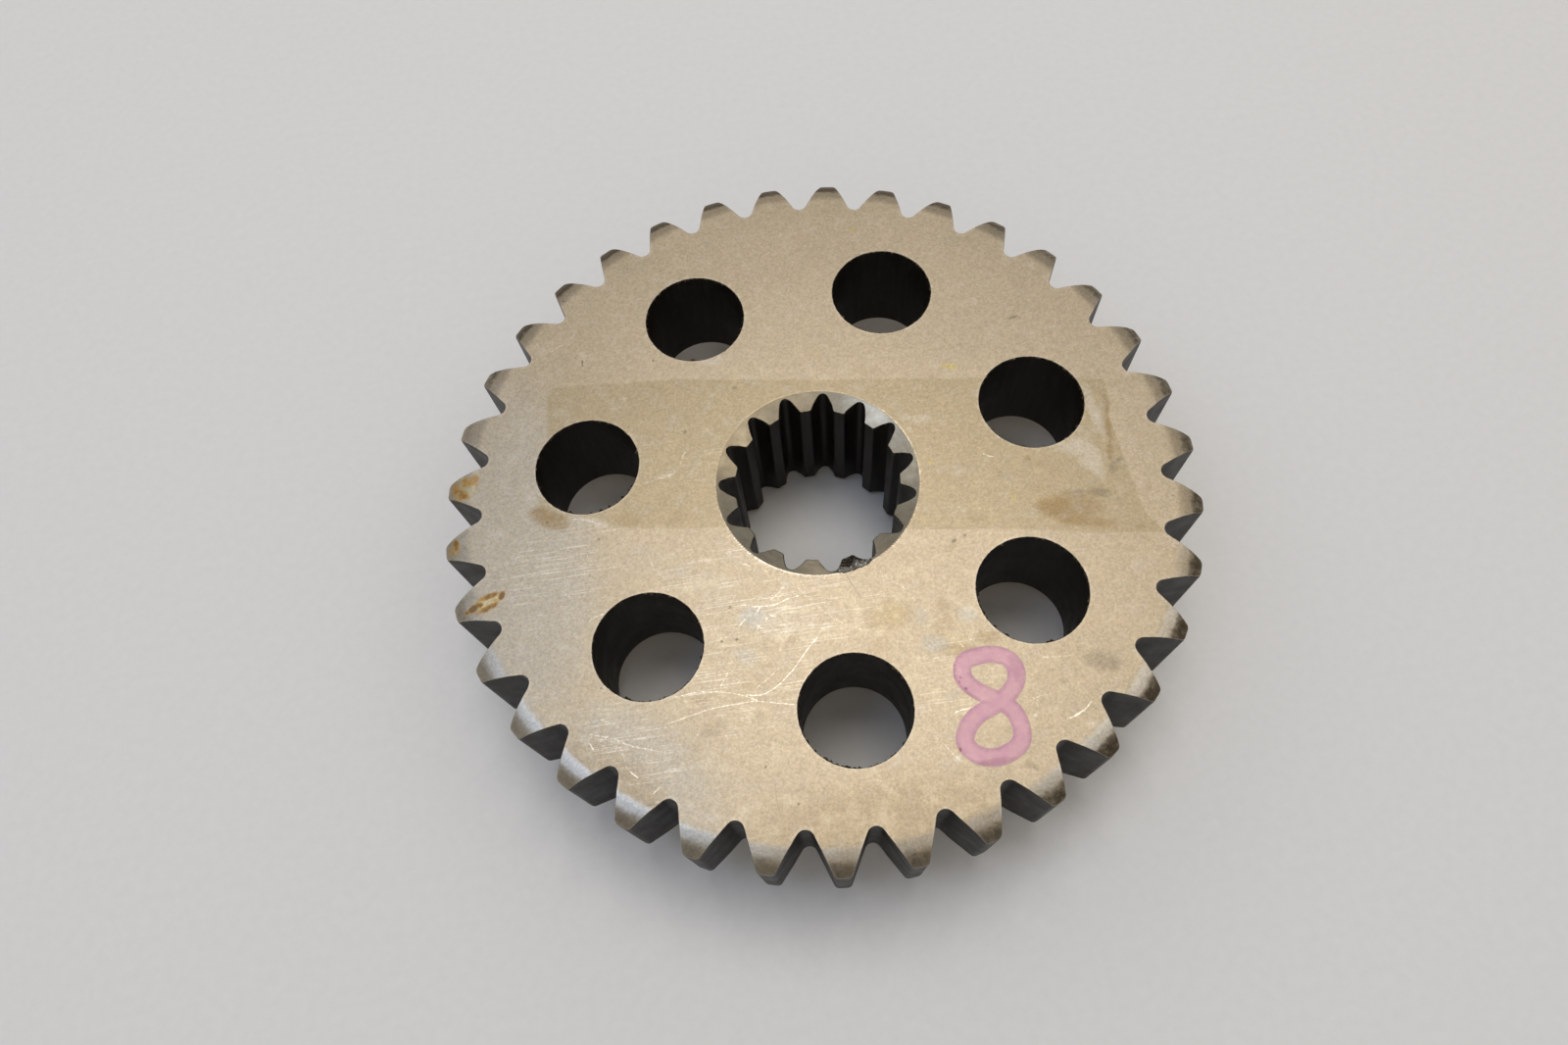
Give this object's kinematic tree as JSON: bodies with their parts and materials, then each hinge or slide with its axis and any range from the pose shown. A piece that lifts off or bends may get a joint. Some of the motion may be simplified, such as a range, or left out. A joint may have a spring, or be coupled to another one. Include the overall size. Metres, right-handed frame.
{
  "type": "chain sprocket",
  "caption": "Steel chain sprocket: pointed teeth for a silent chain, a ring of round lightening holes, a short hub below and a splined bore with one spline tooth broken off at the top.",
  "frame": {"origin": "on the bore axis, in the plane of the hub's end face that the sprocket stands on", "axes": "+Z along the bore axis out of the upper face, -Y through the middle of a lightening hole and of a tooth gap, +X completes the right-handed set"},
  "size_m": [0.1066, 0.1064, 0.024],
  "materials": {
    "steel": "matte, oily, worn"
  },
  "bodies": {
    "root": {"sprocket": "steel"}
  },
  "joints": []
}
